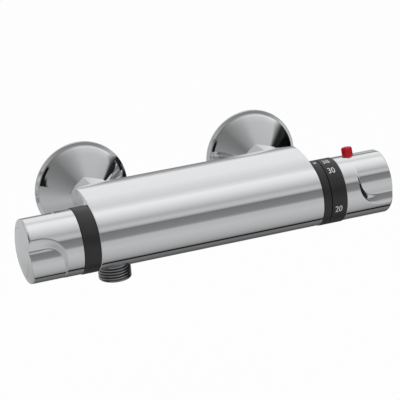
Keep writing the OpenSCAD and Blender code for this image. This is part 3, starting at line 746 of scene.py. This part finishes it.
@dataclass
class Handle:
    """A handle moulding with two finger recesses and its flush end cap, at one end of the bar."""

    axis: Vector
    node: str
    cap_node: str
    rider: Rider
    start_x: float
    facing: float
    turn: float = 0.0
    tip: float = 45.8
    outer_r: float = 26.0
    edge_r: float = 2.2
    dome_r: float = 72.0
    cap_r: float = 19.5
    seam: float = 0.12
    recess_start: float = 13.0
    recess_side: float = -27.0
    recess_corner: float = 20.0
    end_slope: float = 1.15
    side_slope: float = 0.55
    floor_r: float = 20.6
    floor_shift: float = 5.5
    floor_face: float = 65.0
    crease: float = 0.6
    # How far before its side and past its floor's middle a recess reaches, in degrees
    reach: Point = (40.0, 35.0)
    # Its inside from the cap's seat to the spigot: places from the ring and radii
    inside: tuple[Point, ...] = (
        (38.5, 19.5), (38.5, 4.4), (26.0, 4.4), (26.0, 2.1), (21.0, 2.1), (21.0, 4.45), (7.2, 4.45),
        (7.2, 8.5), (33.0, 8.5), (33.0, 18.6), (-8.0, 18.6), (-8.0, 21.1))
    # The hole round the safety button: its radius, its depth and how far out its middle lies
    button_hole: float = 0.0
    hole_depth: float = 14.0
    hole_middle: float = 25.0

    def dome_x(self, radius: float) -> float:
        """Gives how far out the domed end face lies at a radius."""
        return self.tip - self.dome_r + math.sqrt(self.dome_r ** 2 - radius ** 2)

    def floor(self, angle: float) -> float:
        """Gives the radius of a recess's floor, a cylinder off the bar's axis, at an angle in degrees."""
        off = math.radians(angle - self.floor_face)
        return self.floor_shift * math.cos(off) + math.sqrt(
            self.floor_r ** 2 - (self.floor_shift * math.sin(off)) ** 2)

    def recess(self, x: float, angle: float) -> float:
        """Gives the radius of one finger recess's surface.

        Args:
            x: The distance from the ring.
            angle: The angle from the recess's own front, in degrees.

        Returns:
            The radius, larger than the handle's outside the recess.
        """
        if not self.recess_side - self.reach[0] < angle < self.floor_face + self.reach[1]:
            return math.inf
        inward = x - self.recess_start
        upward = math.radians(angle - self.recess_side) * self.outer_r
        corner = self.recess_corner
        if inward < corner and upward < corner:
            gap = Vector((corner - inward, corner - upward))
            depth = corner - gap.length
            share = gap.x ** 2 / max(1e-6, gap.length_squared)
            slope = self.side_slope + (self.end_slope - self.side_slope) * share
        elif inward < upward:
            depth, slope = inward, self.end_slope
        else:
            depth, slope = upward, self.side_slope
        wall = self.outer_r - slope * depth
        return soft_max(wall, self.floor(angle), self.crease * 2)

    def surface(self, x: float, angle: float, radius: float) -> float:
        """Gives the radius of the moulding's outside.

        Args:
            x: The distance from the ring.
            angle: The angle from the front, in degrees.
            radius: The radius without the recesses.

        Returns:
            The radius with both recesses.
        """
        for opposite in (0.0, 180.0):
            own = (angle - opposite + 180.0) % 360.0 - 180.0
            radius = soft_min(radius, self.recess(x, own), self.crease)
        return radius

    def moulding(self) -> Shape:
        """Makes the handle along +X from its ring side.

        Returns:
            The shape, with its recesses.
        """
        round_r = self.outer_r - self.edge_r
        centre_x = self.tip - self.dome_r
        edge_x = centre_x + math.sqrt((self.dome_r - self.edge_r) ** 2 - round_r ** 2)
        lean = math.degrees(math.atan2(round_r, edge_x - centre_x))
        dome_lean = math.degrees(math.asin((self.cap_r + 1.0) / self.dome_r))
        skin = rounded([(0, self.inside[-1][1], 0), (0, self.outer_r, 0.35), (edge_x, self.outer_r, 0)],
                       closed=False)
        skin = skin[:-1] + arc((edge_x, round_r), self.edge_r, 90, lean, chords=14)[:-1]
        skin += arc((centre_x, 0), self.dome_r, lean, dome_lean, chords=4)
        skin = dense(skin, spacing=0.42, closed=False)
        seat_r = self.cap_r + 0.1
        skin += [(self.dome_x(seat_r), seat_r), (self.dome_x(self.cap_r) - 0.15, self.cap_r)]
        made = Shape().turn([*skin, *self.inside], Along.X, count=288)
        return made.reshape(Along.X, self.surface, above=self.cap_r + 0.3)

    def cap(self) -> Shape:
        """Makes the end cap along +X.

        Returns:
            The shape, domed as the handle's end is.
        """
        edge, chamfer, rim, steps = self.cap_r - self.seam, 0.12, 2.0, 12
        under, hollow = self.inside[0][0] + 0.1, self.inside[0][0] + 2.5
        outline = [(self.dome_x(edge * k / steps), edge * k / steps) for k in range(steps)]
        end_x = self.dome_x(edge) - 0.02
        outline += [(end_x, edge - chamfer), (end_x - chamfer, edge), (under, edge), (under, edge - rim),
                    (hollow, edge - rim - 0.2), (hollow, 0.0)]
        return Shape().turn(outline, Along.X, count=144, closed=False)

    def place(self) -> Matrix:
        """Gives the matrix from the moulding's own frame to the valve's."""
        return (Matrix.Translation(self.axis) @ Matrix.Rotation(self.facing, 4, "Z") @
                Matrix.Translation((self.start_x, 0, 0)))

    def build(self) -> None:
        """Makes the handle and its cap."""
        turned = self.place() @ Matrix.Rotation(math.radians(self.turn), 4, "X")
        piece = self.moulding().shift(turned).piece(self.node + "_moulding", self.rider, "chrome", sharp=40.0)
        if self.button_hole:
            out = Matrix.Translation((0, 0, self.hole_middle))
            drill(piece, self.button_hole, self.hole_depth, SafetyButton(self.axis).place() @ out)
        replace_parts(piece, self.node)
        lid = self.cap().shift(self.place())
        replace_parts(lid.piece(self.cap_node + "_lid", self.rider, "chrome"), self.cap_node)


@dataclass
class ClipRing:
    """A satin black ring on the bar."""

    axis: Vector
    node: str
    rider: Rider
    inner_r: float = 21.25
    edge: float = 0.45

    def build(self) -> None:
        """Makes the ring in the space of its CAD node."""
        low, high = corners_of(self.node)
        outer = (high.z - low.z) / 2
        outline = rounded([(low.x, self.inner_r, 0), (low.x, outer, self.edge), (high.x, outer, self.edge),
                           (high.x, self.inner_r, 0)])
        made = Shape().turn(outline, Along.X, count=180)
        made.shift(Matrix.Translation(self.axis))
        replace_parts(made.piece(self.node + "_skin", self.rider, "black_ring"), self.node)


@dataclass
class Printing:
    """White numbers and the index dot, printed round the black rings."""

    axis: Vector
    height: float = 5.6
    width_scale: float = 0.80
    font_size: float = 1.42 * height
    bolder: float = 0.01
    aside: float = -1.1
    lift: float = 0.03
    strip: float = 0.6
    dot_angle: float = 84.5
    dot_r: float = 1.15
    # Each number with its angle over the bar, from the front
    numbers: tuple[tuple[str, float], ...] = (("38", 82.0), ("30", 56.4), ("20", -17.0), ("50", 124.0))

    def bend(self, made: Shape, angle: float, radius: float, x: float) -> None:
        """Wraps a flat shape round the bar: its X runs along the bar and its Y over the top.

        Args:
            made: The flat shape, centred on the origin.
            angle: The angle from the front that its middle gets.
            radius: The radius of the surface that it lies on.
            x: The place along the bar.
        """
        bm = made.bm
        span = max(abs(v.co.y) for v in bm.verts)
        cut = -span
        while cut < span:
            everything = bm.verts[:] + bm.edges[:] + bm.faces[:]
            bmesh.ops.bisect_plane(bm, geom=everything, plane_co=(0, cut, 0), plane_no=(0, 1, 0))
            cut += self.strip
        outer = radius + self.lift
        for vert in bm.verts:
            theta = math.radians(angle) + vert.co.y / outer
            vert.co = Vector((x + vert.co.x, -outer * math.cos(theta), outer * math.sin(theta)))
        bmesh.ops.recalc_face_normals(bm, faces=bm.faces)
        if sum(face.normal.yz.dot(face.calc_center_median().yz) for face in bm.faces) < 0:
            bmesh.ops.reverse_faces(bm, faces=bm.faces)
        made.shift(Matrix.Translation(self.axis))

    def number(self, text: str, angle: float, radius: float, x: float) -> None:
        """Prints one number on the scale ring.

        Args:
            text: The number.
            angle: The angle from the front that its middle gets.
            radius: The ring's radius.
            x: The place along the bar.
        """
        curve = bpy.data.curves.new("number_outline", "FONT")
        curve.body = text
        curve.align_x = "CENTER"
        curve.align_y = "CENTER"
        curve.size = self.font_size
        curve.offset = self.bolder
        writer = put_in_scene("number_outline", curve)
        made = Shape()
        made.bm.from_mesh(final_mesh(writer))
        bpy.data.objects.remove(writer)
        box_x, box_y = ([vert.co[i] for vert in made.bm.verts] for i in (0, 1))
        centre = Vector(((min(box_x) + max(box_x)) / 2, (min(box_y) + max(box_y)) / 2, 0))
        grow = self.height / (max(box_y) - min(box_y))
        made.shift(Matrix.Diagonal((grow * self.width_scale, grow, 1, 1)) @ Matrix.Translation(-centre))
        self.bend(made, angle, radius, x)
        made.piece("number_" + text, Rider.TEMPERATURE, "black_ring", PRINT)

    def build(self) -> None:
        """Prints all numbers and the dot."""
        low, high = corners_of("scale_ring")
        radius = (high.z - low.z) / 2
        for text, angle in self.numbers:
            self.number(text, angle, radius, (low.x + high.x) / 2 + self.aside)
        index = middle("index_ring")
        dot = Shape()
        bmesh.ops.create_circle(dot.bm, cap_ends=True, segments=28, radius=self.dot_r)
        self.bend(dot, self.dot_angle, radius, index.x)
        dot.piece("index_dot", Rider.VALVE, "black_ring", PRINT)


@dataclass
class SafetyButton:
    """The red button in the temperature handle."""

    axis: Vector
    angle: float = 105.0
    # Places out from the bar's axis, radii and roundings of its post, flange and head
    outline: tuple[Corner, ...] = (
        (13.6, 0.0, 0), (13.6, 1.4, 0.3), (16.2, 1.4, 0), (16.2, 5.8, 0.3), (17.5, 5.8, 0.3), (17.5, 4.45, 0),
        (31.9, 4.45, 1.5), (32.4, 1.8, 2.0), (32.4, 0.0, 0))
    tongue_size: Corner = (11.7, 2.8, 1.3)
    tongue_middle: Corner = (-8.85, 0.0, 16.85)
    x: float = 130.1

    def place(self) -> Matrix:
        """Gives the matrix from the bar's own frame, upright at the button, to the button's lean."""
        return (Matrix.Translation(self.axis + Along.X.value * self.x) @
                Matrix.Rotation(math.radians(90 - self.angle), 4, "X"))

    def build(self) -> None:
        """Makes the button, its flange, its spring post and its tongue."""
        made = Shape().turn(rounded(self.outline, closed=False), Along.Z, count=72, closed=False)
        bmesh.ops.create_cube(made.bm, size=1.0, matrix=Matrix.Translation(self.tongue_middle) @
                              Matrix.Diagonal((*self.tongue_size, 1)))
        made.shift(self.place())
        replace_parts(made.piece("red_button", Rider.BUTTON, "red_button"), "safety_button")


@dataclass
class Outlet:
    """The threaded outlet stub under the body."""

    crest_r: float = 13.22
    # Heights, radii and roundings
    outline: tuple[Corner, ...] = (
        (-36.0, 8.0, 0.4), (-36.0, 12.32, 0.5), (-35.1, 13.22, 0.3), (-20.5, 13.22, 0), (-20.5, 13.6, 0),
        (-21.6, 13.6, 0), (-21.6, 11.6, 0), (-19.0, 11.6, 0), (-19.0, 8.0, 0))
    pitch: float = 2.309
    depth: float = 1.1
    flat: float = 0.14
    # Where the vertices move, and where the thread starts and ends
    reach: Point = (-35.2, -20.6)
    thread: Point = (-35.6, -20.9)

    def threaded(self, z: float, angle: float, radius: float) -> float:
        """Gives the radius of the stub with its thread.

        Args:
            z: The height.
            angle: The angle round the stub in degrees.
            radius: The radius without the thread.

        Returns:
            The radius there.
        """
        if not self.reach[0] < z < self.reach[1]:
            return radius
        tooth = abs(2 * ((z / self.pitch - angle / 360.0) % 1.0) - 1)
        height = smooth_step((tooth - self.flat) / (1 - 2 * self.flat))
        ease = (smooth_step((z - self.thread[0]) / self.pitch) *
                smooth_step((self.thread[1] - z) / self.pitch))
        return radius - self.depth * (1 - height) * ease

    def build(self) -> None:
        """Makes the stub with its thread."""
        stub = middle("outlet_nipple")
        made = Shape().turn(dense(rounded(self.outline), spacing=0.2), Along.Z, count=120)
        made.reshape(Along.Z, self.threaded, above=self.crest_r - 0.2)
        made.shift(Matrix.Translation((stub.x, stub.y, 0)))
        # A dark grey, much darker than the body's chrome, with painted shade at the thread's roots
        finish = RootShaded("root_shaded_thread", (0.26, 0.26, 0.27), 0.14, 0.08, patches=400.0, shades=0.75,
                        metallic=1.0, centre_mm=(stub.x, stub.y), root_mm=self.crest_r - 1.0,
                        crest_mm=self.crest_r)
        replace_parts(made.piece("outlet_stub", Rider.VALVE, "chrome", finish, sharp=60.0),
                    "outlet_nipple")


@dataclass
class Inlet:
    """The union nut and the wall flange of one inlet behind the body."""

    axis: Vector
    side: str
    across: float = 30.0
    nut_from: float = 41.3
    nut_to: float = 63.4
    nut_turn: float = 18.0
    neck_r: float = 11.2
    shoulder: float = 45.5
    crest_r: float = 13.22
    flange_r: float = 39.5
    lip: float = 2.0
    lip_w: float = 1.2
    lip_lean: float = 0.38
    cone_from: float = 63.9
    sheet: float = 1.1
    # The cone's bend towards the lip: places from the wall, radii and roundings
    bend: tuple[Corner, ...] = (
        (-9.2, 31.0, 0.0), (-7.5, 33.0, 6.0), (-5.75, 35.0, 5.0), (-4.45, 36.3, 2.0), (-4.05, 36.7, 0.0))
    tube_end: float = 67.2

    def on_axis(self) -> Matrix:
        """Gives the matrix that puts a piece on this inlet's own axis."""
        nut = middle(f"{self.side}_union_nut")
        return Matrix.Translation((nut.x, self.axis.y, nut.z))

    def hexagon(self, y: float, angle: float, radius: float) -> float:
        """Gives the radius of the nut's outside, chamfered at both ends, at a place and an angle."""
        flat = self.across / 2 / math.cos(math.radians((angle + self.nut_turn) % 60.0 - 30.0))
        return soft_min(flat, self.across / 2 + 0.3 + min(y - self.nut_from, self.nut_to - y) * 1.7, 0.3)

    def nut(self) -> None:
        """Makes the union nut."""
        thick, inner = self.across / 2, self.crest_r + 0.1
        outline = [(self.nut_from, self.neck_r), (self.nut_from, thick), (self.nut_to, thick),
                   (self.nut_to, inner), (self.shoulder, inner), (self.shoulder, self.neck_r)]
        made = Shape().turn(dense(outline, spacing=0.45), Along.Y, count=120)
        made.reshape(Along.Y, self.hexagon, above=thick - 0.01)
        made.shift(self.on_axis())
        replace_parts(made.piece(f"{self.side}_nut", Rider.VALVE, "chrome", sharp=25.0),
                    f"{self.side}_union_nut")

    def flange(self) -> None:
        """Makes the wall flange: a thin cone that rolls over to a flat lip."""
        wall, rim, inner = -self.axis.y, self.flange_r, self.crest_r + 0.1
        lip_y = wall - self.lip
        front = [(wall + y, r, size) for y, r, size in self.bend]
        inside = [(wall + y + self.sheet, r - 1.0, 0) for y, r, _ in reversed(self.bend)]
        lip_foot = (lip_y - self.lip_lean, self.bend[-1][1] + 0.1, 0.1)
        outline = rounded([(self.cone_from, inner, 0), *front, lip_foot, (lip_y, rim, 0.3),
                           (wall, rim, 0.15), (wall, rim - self.lip_w, 0.15),
                           (lip_y + self.lip_w, rim - self.lip_w, 0.2), *inside,
                           (self.tube_end, self.crest_r + 2.2, 0), (self.tube_end, inner, 0)])
        made = Shape().turn(outline, Along.Y, count=200)
        made.shift(self.on_axis())
        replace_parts(made.piece(f"{self.side}_wall_flange", Rider.VALVE, "chrome"), f"{self.side}_flange")

    def build(self) -> None:
        """Makes the nut and the flange."""
        self.nut()
        self.flange()


@dataclass
class Spring:
    """A coil spring between its seat and a piece that moves.

    It rides with its body, or stays loose in its place where it has a far body.
    """

    node: str
    rider: Rider
    seat: Vector
    towards: Vector
    length: float
    mean_r: float
    wire_r: float
    curls: int
    joint: str = ""
    travel: float = 0.0
    far: Rider | None = None
    sides: int = 8
    steps_per_curl: int = 20

    def coil(self) -> Shape:
        """Makes the coil at its place.

        Returns:
            The shape, with its ends closed.
        """
        made = Shape()
        start = Matrix.Translation((self.mean_r, 0, self.wire_r)) @ Matrix.Rotation(math.pi / 2, 4, "X")
        bmesh.ops.create_circle(made.bm, segments=self.sides, radius=self.wire_r, matrix=start)
        count = self.steps_per_curl * self.curls
        rise = (self.length - 2 * self.wire_r) / count
        bmesh.ops.spin(made.bm, geom=made.bm.verts[:] + made.bm.edges[:], cent=(0, 0, 0), axis=(0, 0, 1),
                       dvec=(0, 0, rise), angle=math.tau * self.curls, steps=count, use_merge=False)
        bmesh.ops.holes_fill(made.bm, edges=[edge for edge in made.bm.edges if edge.is_boundary])
        bmesh.ops.recalc_face_normals(made.bm, faces=made.bm.faces)
        lean = Along.Z.value.rotation_difference(self.towards).to_matrix().to_4x4()
        return made.shift(Matrix.Translation(self.seat) @ lean)

    def build(self) -> None:
        """Makes the spring in the place of its CAD node."""
        name, seat = self.node + "_coil", tuple(self.seat * MM)
        if self.far is None:
            made = self.coil().piece(name, self.rider, "steel")
            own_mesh(made)
        else:
            made = self.coil().to_object(name, STEEL.material())
            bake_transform(made)
        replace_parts(made, self.node)


def springs(axis: Vector) -> list[Spring]:
    """Lists the springs that a joint presses.

    Args:
        axis: A point on the bar's axis.

    Returns:
        The springs, at their places.
    """
    check_seat, return_seat, button_seat = 35.4, 45.1, 9.45
    made = []
    for side in ("hot", "cold"):
        tail = middle(f"{side}_inlet_tail")
        made.append(Spring(f"{side}_check_spring", Rider.VALVE, Vector((tail.x, axis.y + check_seat, tail.z)),
                           Along.Y.value, length=8.1, mean_r=3.8, wire_r=0.4, curls=4,
                           joint=f"{side}_check_lift", travel=4.5))
    made.append(Spring("return_spring", Rider.VALVE, axis + Along.X.value * return_seat, Along.X.value,
                       length=17.8, mean_r=6.6, wire_r=0.7, curls=5, far=Rider.SLIDE))
    lean = math.radians(SafetyButton.angle)
    outward = Vector((0, -math.cos(lean), math.sin(lean)))
    seat = axis + Along.X.value * SafetyButton.x + outward * button_seat
    made.append(Spring("button_spring", Rider.TEMPERATURE, seat, outward, length=6.7, mean_r=2.6, wire_r=0.38,
                       curls=4, joint="safety_press", travel=2.5))
    return made


@dataclass
class CadDress:
    """Gives every CAD node that still shows the finish of its material slot."""

    plated: tuple[str, ...] = ("hot_inlet_tail", "cold_inlet_tail", "hot_eccentric", "cold_eccentric")

    def build(self) -> None:
        """Assigns the finishes."""
        slots = {part["node"]: part["material_slot"] for part in frame["record"]["subparts"]}
        for name, node in frame["nodes"].items():
            finish = PLATED if name in self.plated else SLOT_FINISHES[slots[name]]
            node.data.materials.clear()
            node.data.materials.append(finish.material())
            log.info("%s: %s", name, finish.name)


# Studio


@dataclass
class Studio:
    """A white studio. The chrome shows its bands of light as angles over the front, top and back."""

    # Angle over the bar in degrees, from the front (0) over the top (90) to the back (180), and brightness
    above: Stops = (
        (0, 0.40), (4, 0.27), (12, 0.245), (22, 0.225), (29, 0.20), (34, 0.50), (40, 0.62), (54, 0.49),
        (70, 0.70), (86, 0.88), (103, 0.99), (113, 0.97), (121, 0.76), (126, 0.80), (136, 0.93), (155, 0.94),
        (160, 0.45), (165, 0.27), (180, 0.30))
    # The same from the front down under the bar
    below: Stops = (
        (0, 0.40), (4, 0.55), (28, 0.60), (46, 0.55), (63, 0.47), (75, 0.38), (83, 0.29), (87.5, 0.12),
        (88.5, 0.0), (95, 0.0), (96.5, 0.18), (104, 0.20), (113, 0.17), (122, 0.12), (138, 0.10), (148, 0.16),
        (160, 0.30), (180, 0.40))
    # Light from the left by height of the direction, in front of the valve and behind it
    left_front: Stops = (
        (-1, 0.38), (-0.8, 0.40), (-0.66, 0.43), (-0.5, 0.49), (-0.32, 0.47), (-0.12, 0.37), (0.08, 0.31),
        (0.28, 0.26), (0.46, 0.22), (0.66, 0.20), (0.85, 0.25), (1, 0.40))
    left_back: Stops = (
        (-1, 0.38), (-0.65, 0.40), (-0.5, 0.44), (-0.33, 0.56), (0, 0.60), (0.3, 0.56), (0.45, 0.46),
        (0.75, 0.62), (1, 0.74))
    # How far the bands take over from the light of the left, by the direction's x
    bands_front: Stops = ((-0.5, 0), (-0.2, 0.36), (0.05, 0.66), (0.2, 0.93), (0.32, 1))
    bands_back: Stops = ((-0.1, 0), (0.06, 0.2), (0.2, 1))
    # Dark panels to the left and right: start and end as angles from the front in degrees, and the heights at
    # which they are full and at which they have faded, both negative for one that hangs low
    panels: tuple[tuple[float, float, float, float], ...] = (
        (-100, -62, 0.52, 0.64), (79, 128, 0.16, 0.46), (52, 150, -0.52, -0.62))
    panel_dark: float = 0.97
    # How far a panel's sides fade, in degrees
    panel_fade: float = 1.5
    floor_z: float = -0.30
    floor_half: float = 4.0
    floor_grey: float = 0.82
    # How much of the floor is plain white to the camera
    floor_white: float = 0.97
    lamp_power: float = 9.0
    lamp_size: Point = (1.2, 0.8)
    lamp_place: tuple[float, float, float] = (-0.2, -0.9, 1.1)
    lamp_aim: tuple[float, float, float] = (0.0, -0.08, 0.0)

    def band_light(self, tree: Tree) -> Value:
        """Adds the studio's light.

        Args:
            tree: The world's tree.

        Returns:
            The brightness in the direction that is looked in.
        """
        aside, back, upward = tree.parts(tree.node("ShaderNodeTexCoord").outputs["Generated"])
        forward = back * -1.0
        is_over, is_back = upward > 0.0, forward < 0.0
        over_angle = upward.arctan2(forward) * (180 / math.pi)
        under = tree.ramp(over_angle * -1.0, 0, 180, self.below)
        bands = mixed(under, tree.ramp(over_angle, 0, 180, self.above), is_over)
        side, share = (mixed(tree.ramp(part, -1, 1, front), tree.ramp(part, -1, 1, behind), is_back)
                       for part, front, behind in ((upward, self.left_front, self.left_back),
                                                   (aside, self.bands_front, self.bands_back)))
        level = mixed(side, bands, share)
        round_angle = aside.arctan2(forward) * (180 / math.pi)
        fade = self.panel_fade
        for start, end, full, none in self.panels:
            wide = eased(round_angle, start - fade, start + fade) * eased(round_angle, end + fade, end - fade)
            half = is_over if full > 0 else 1.0 - is_over
            level = level * (1.0 - wide * (half * eased(upward, none, full)) * self.panel_dark)
        return level

    def world(self) -> None:
        """Makes the world: white to the camera, bands of studio light to everything else."""
        made = bpy.data.worlds.new("studio")
        bpy.context.scene.world = made
        tree = Tree(made)
        camera_ray = tree.camera_ray()
        level = self.band_light(tree) * (1.0 - camera_ray) + camera_ray
        shade = tree.node("ShaderNodeCombineColor", Red=level, Green=level, Blue=level)
        light = tree.node("ShaderNodeBackground", Color=shade.outputs[0], Strength=1.0)
        tree.node("ShaderNodeOutputWorld", Surface=light.outputs[0])

    def floor(self) -> None:
        """Lays a plain pale floor, white to the camera but for a faint shadow."""
        pale = bpy.data.materials.new("pale_floor")
        tree = Tree(pale)
        matt = tree.node("ShaderNodeBsdfDiffuse", Color=(*[self.floor_grey] * 3, 1))
        white = tree.node("ShaderNodeEmission", Color=(1, 1, 1, 1), Strength=1.0)
        both = tree.node("ShaderNodeMixShader", None, tree.camera_ray() * self.floor_white, matt.outputs[0],
                         white.outputs[0])
        tree.node("ShaderNodeOutputMaterial", Surface=both.outputs[0])
        made = Shape()
        bmesh.ops.create_grid(made.bm, x_segments=1, y_segments=1, size=self.floor_half / MM,
                              matrix=Matrix.Translation((0, 0, self.floor_z / MM)))
        plane = made.to_object("studio_floor", pale)
        plane.visible_glossy = False

    def lamp(self) -> None:
        """Hangs one large soft lamp over the front."""
        light = bpy.data.lights.new("soft_lamp", "AREA")
        light.shape = "RECTANGLE"
        light.size, light.size_y = self.lamp_size
        light.energy = self.lamp_power
        made = put_in_scene("soft_lamp", light)
        made.location = self.lamp_place
        made.rotation_euler = (Vector(self.lamp_aim) - made.location).to_track_quat("-Z", "Y").to_euler()
        made.visible_glossy = False

    def build(self) -> None:
        """Makes the whole studio."""
        self.world()
        self.floor()
        self.lamp()


@dataclass
class Camera:
    """The photograph's camera, fitted to the flanges, rings and outlines."""

    turn: float = -18.48
    rise: float = 19.05
    roll: float = 5.02
    aside_mm: float = 2.96
    down_mm: float = 12.44
    away_mm: float = 1494.62
    focal_px: float = 1874.44
    image_px: float = 400.0
    sensor_mm: float = 36.0

    def build(self) -> None:
        """Places the camera by the bar's axis."""
        turn, rise, roll = (math.radians(a) for a in (self.turn, self.rise, self.roll))
        back = Vector((math.sin(turn) * math.cos(rise), -math.cos(turn) * math.cos(rise), math.sin(rise)))
        right = Vector((math.cos(turn), math.sin(turn), 0))
        up = back.cross(right)
        image_right = right * math.cos(roll) - up * math.sin(roll)
        image_up = right * math.sin(roll) + up * math.cos(roll)
        place = back * self.away_mm - image_right * self.aside_mm + image_up * self.down_mm + bar_axis()
        data = bpy.data.cameras.new("photo_camera")
        data.sensor_width = self.sensor_mm
        data.lens = self.focal_px / self.image_px * self.sensor_mm
        data.clip_end = 20.0
        made = put_in_scene("photo_camera", data)
        axes = Matrix((image_right, image_up, back)).transposed().to_4x4()
        made.matrix_world = Matrix.Translation(place * MM) @ axes
        bpy.context.scene.camera = made


def main() -> None:
    """Builds every sub-assembly, the studio and the camera."""
    logging.basicConfig(level=logging.INFO, format="%(message)s")
    bpy.context.scene.view_settings.view_transform = "Standard"
    axis = bar_axis()
    Camera().build()
    Studio().build()
    CadDress().build()
    CastBody(axis).build()
    gap = 0.1
    flow_side = corners_of("flow_ring")[0].x - gap
    Handle(axis, "flow_handle", "flow_handle_cap", Rider.FLOW, -flow_side, math.pi, turn=10.0,
           recess_start=13.9).build()
    temperature_side = corners_of("scale_ring")[1].x + gap
    Handle(axis, "temperature_handle", "temperature_handle_cap", Rider.TEMPERATURE, temperature_side, 0.0,
           turn=-1.8, tip=45.2, recess_start=11.8, button_hole=4.7).build()
    for node, rider in (("flow_ring", Rider.FLOW), ("index_ring", Rider.VALVE),
                        ("scale_ring", Rider.TEMPERATURE)):
        ClipRing(axis, node, rider).build()
    Printing(axis).build()
    SafetyButton(axis).build()
    Outlet().build()
    for side in ("hot", "cold"):
        Inlet(axis, side).build()
    for spring in springs(axis):
        spring.build()


if __name__ == "__main__":
    main()
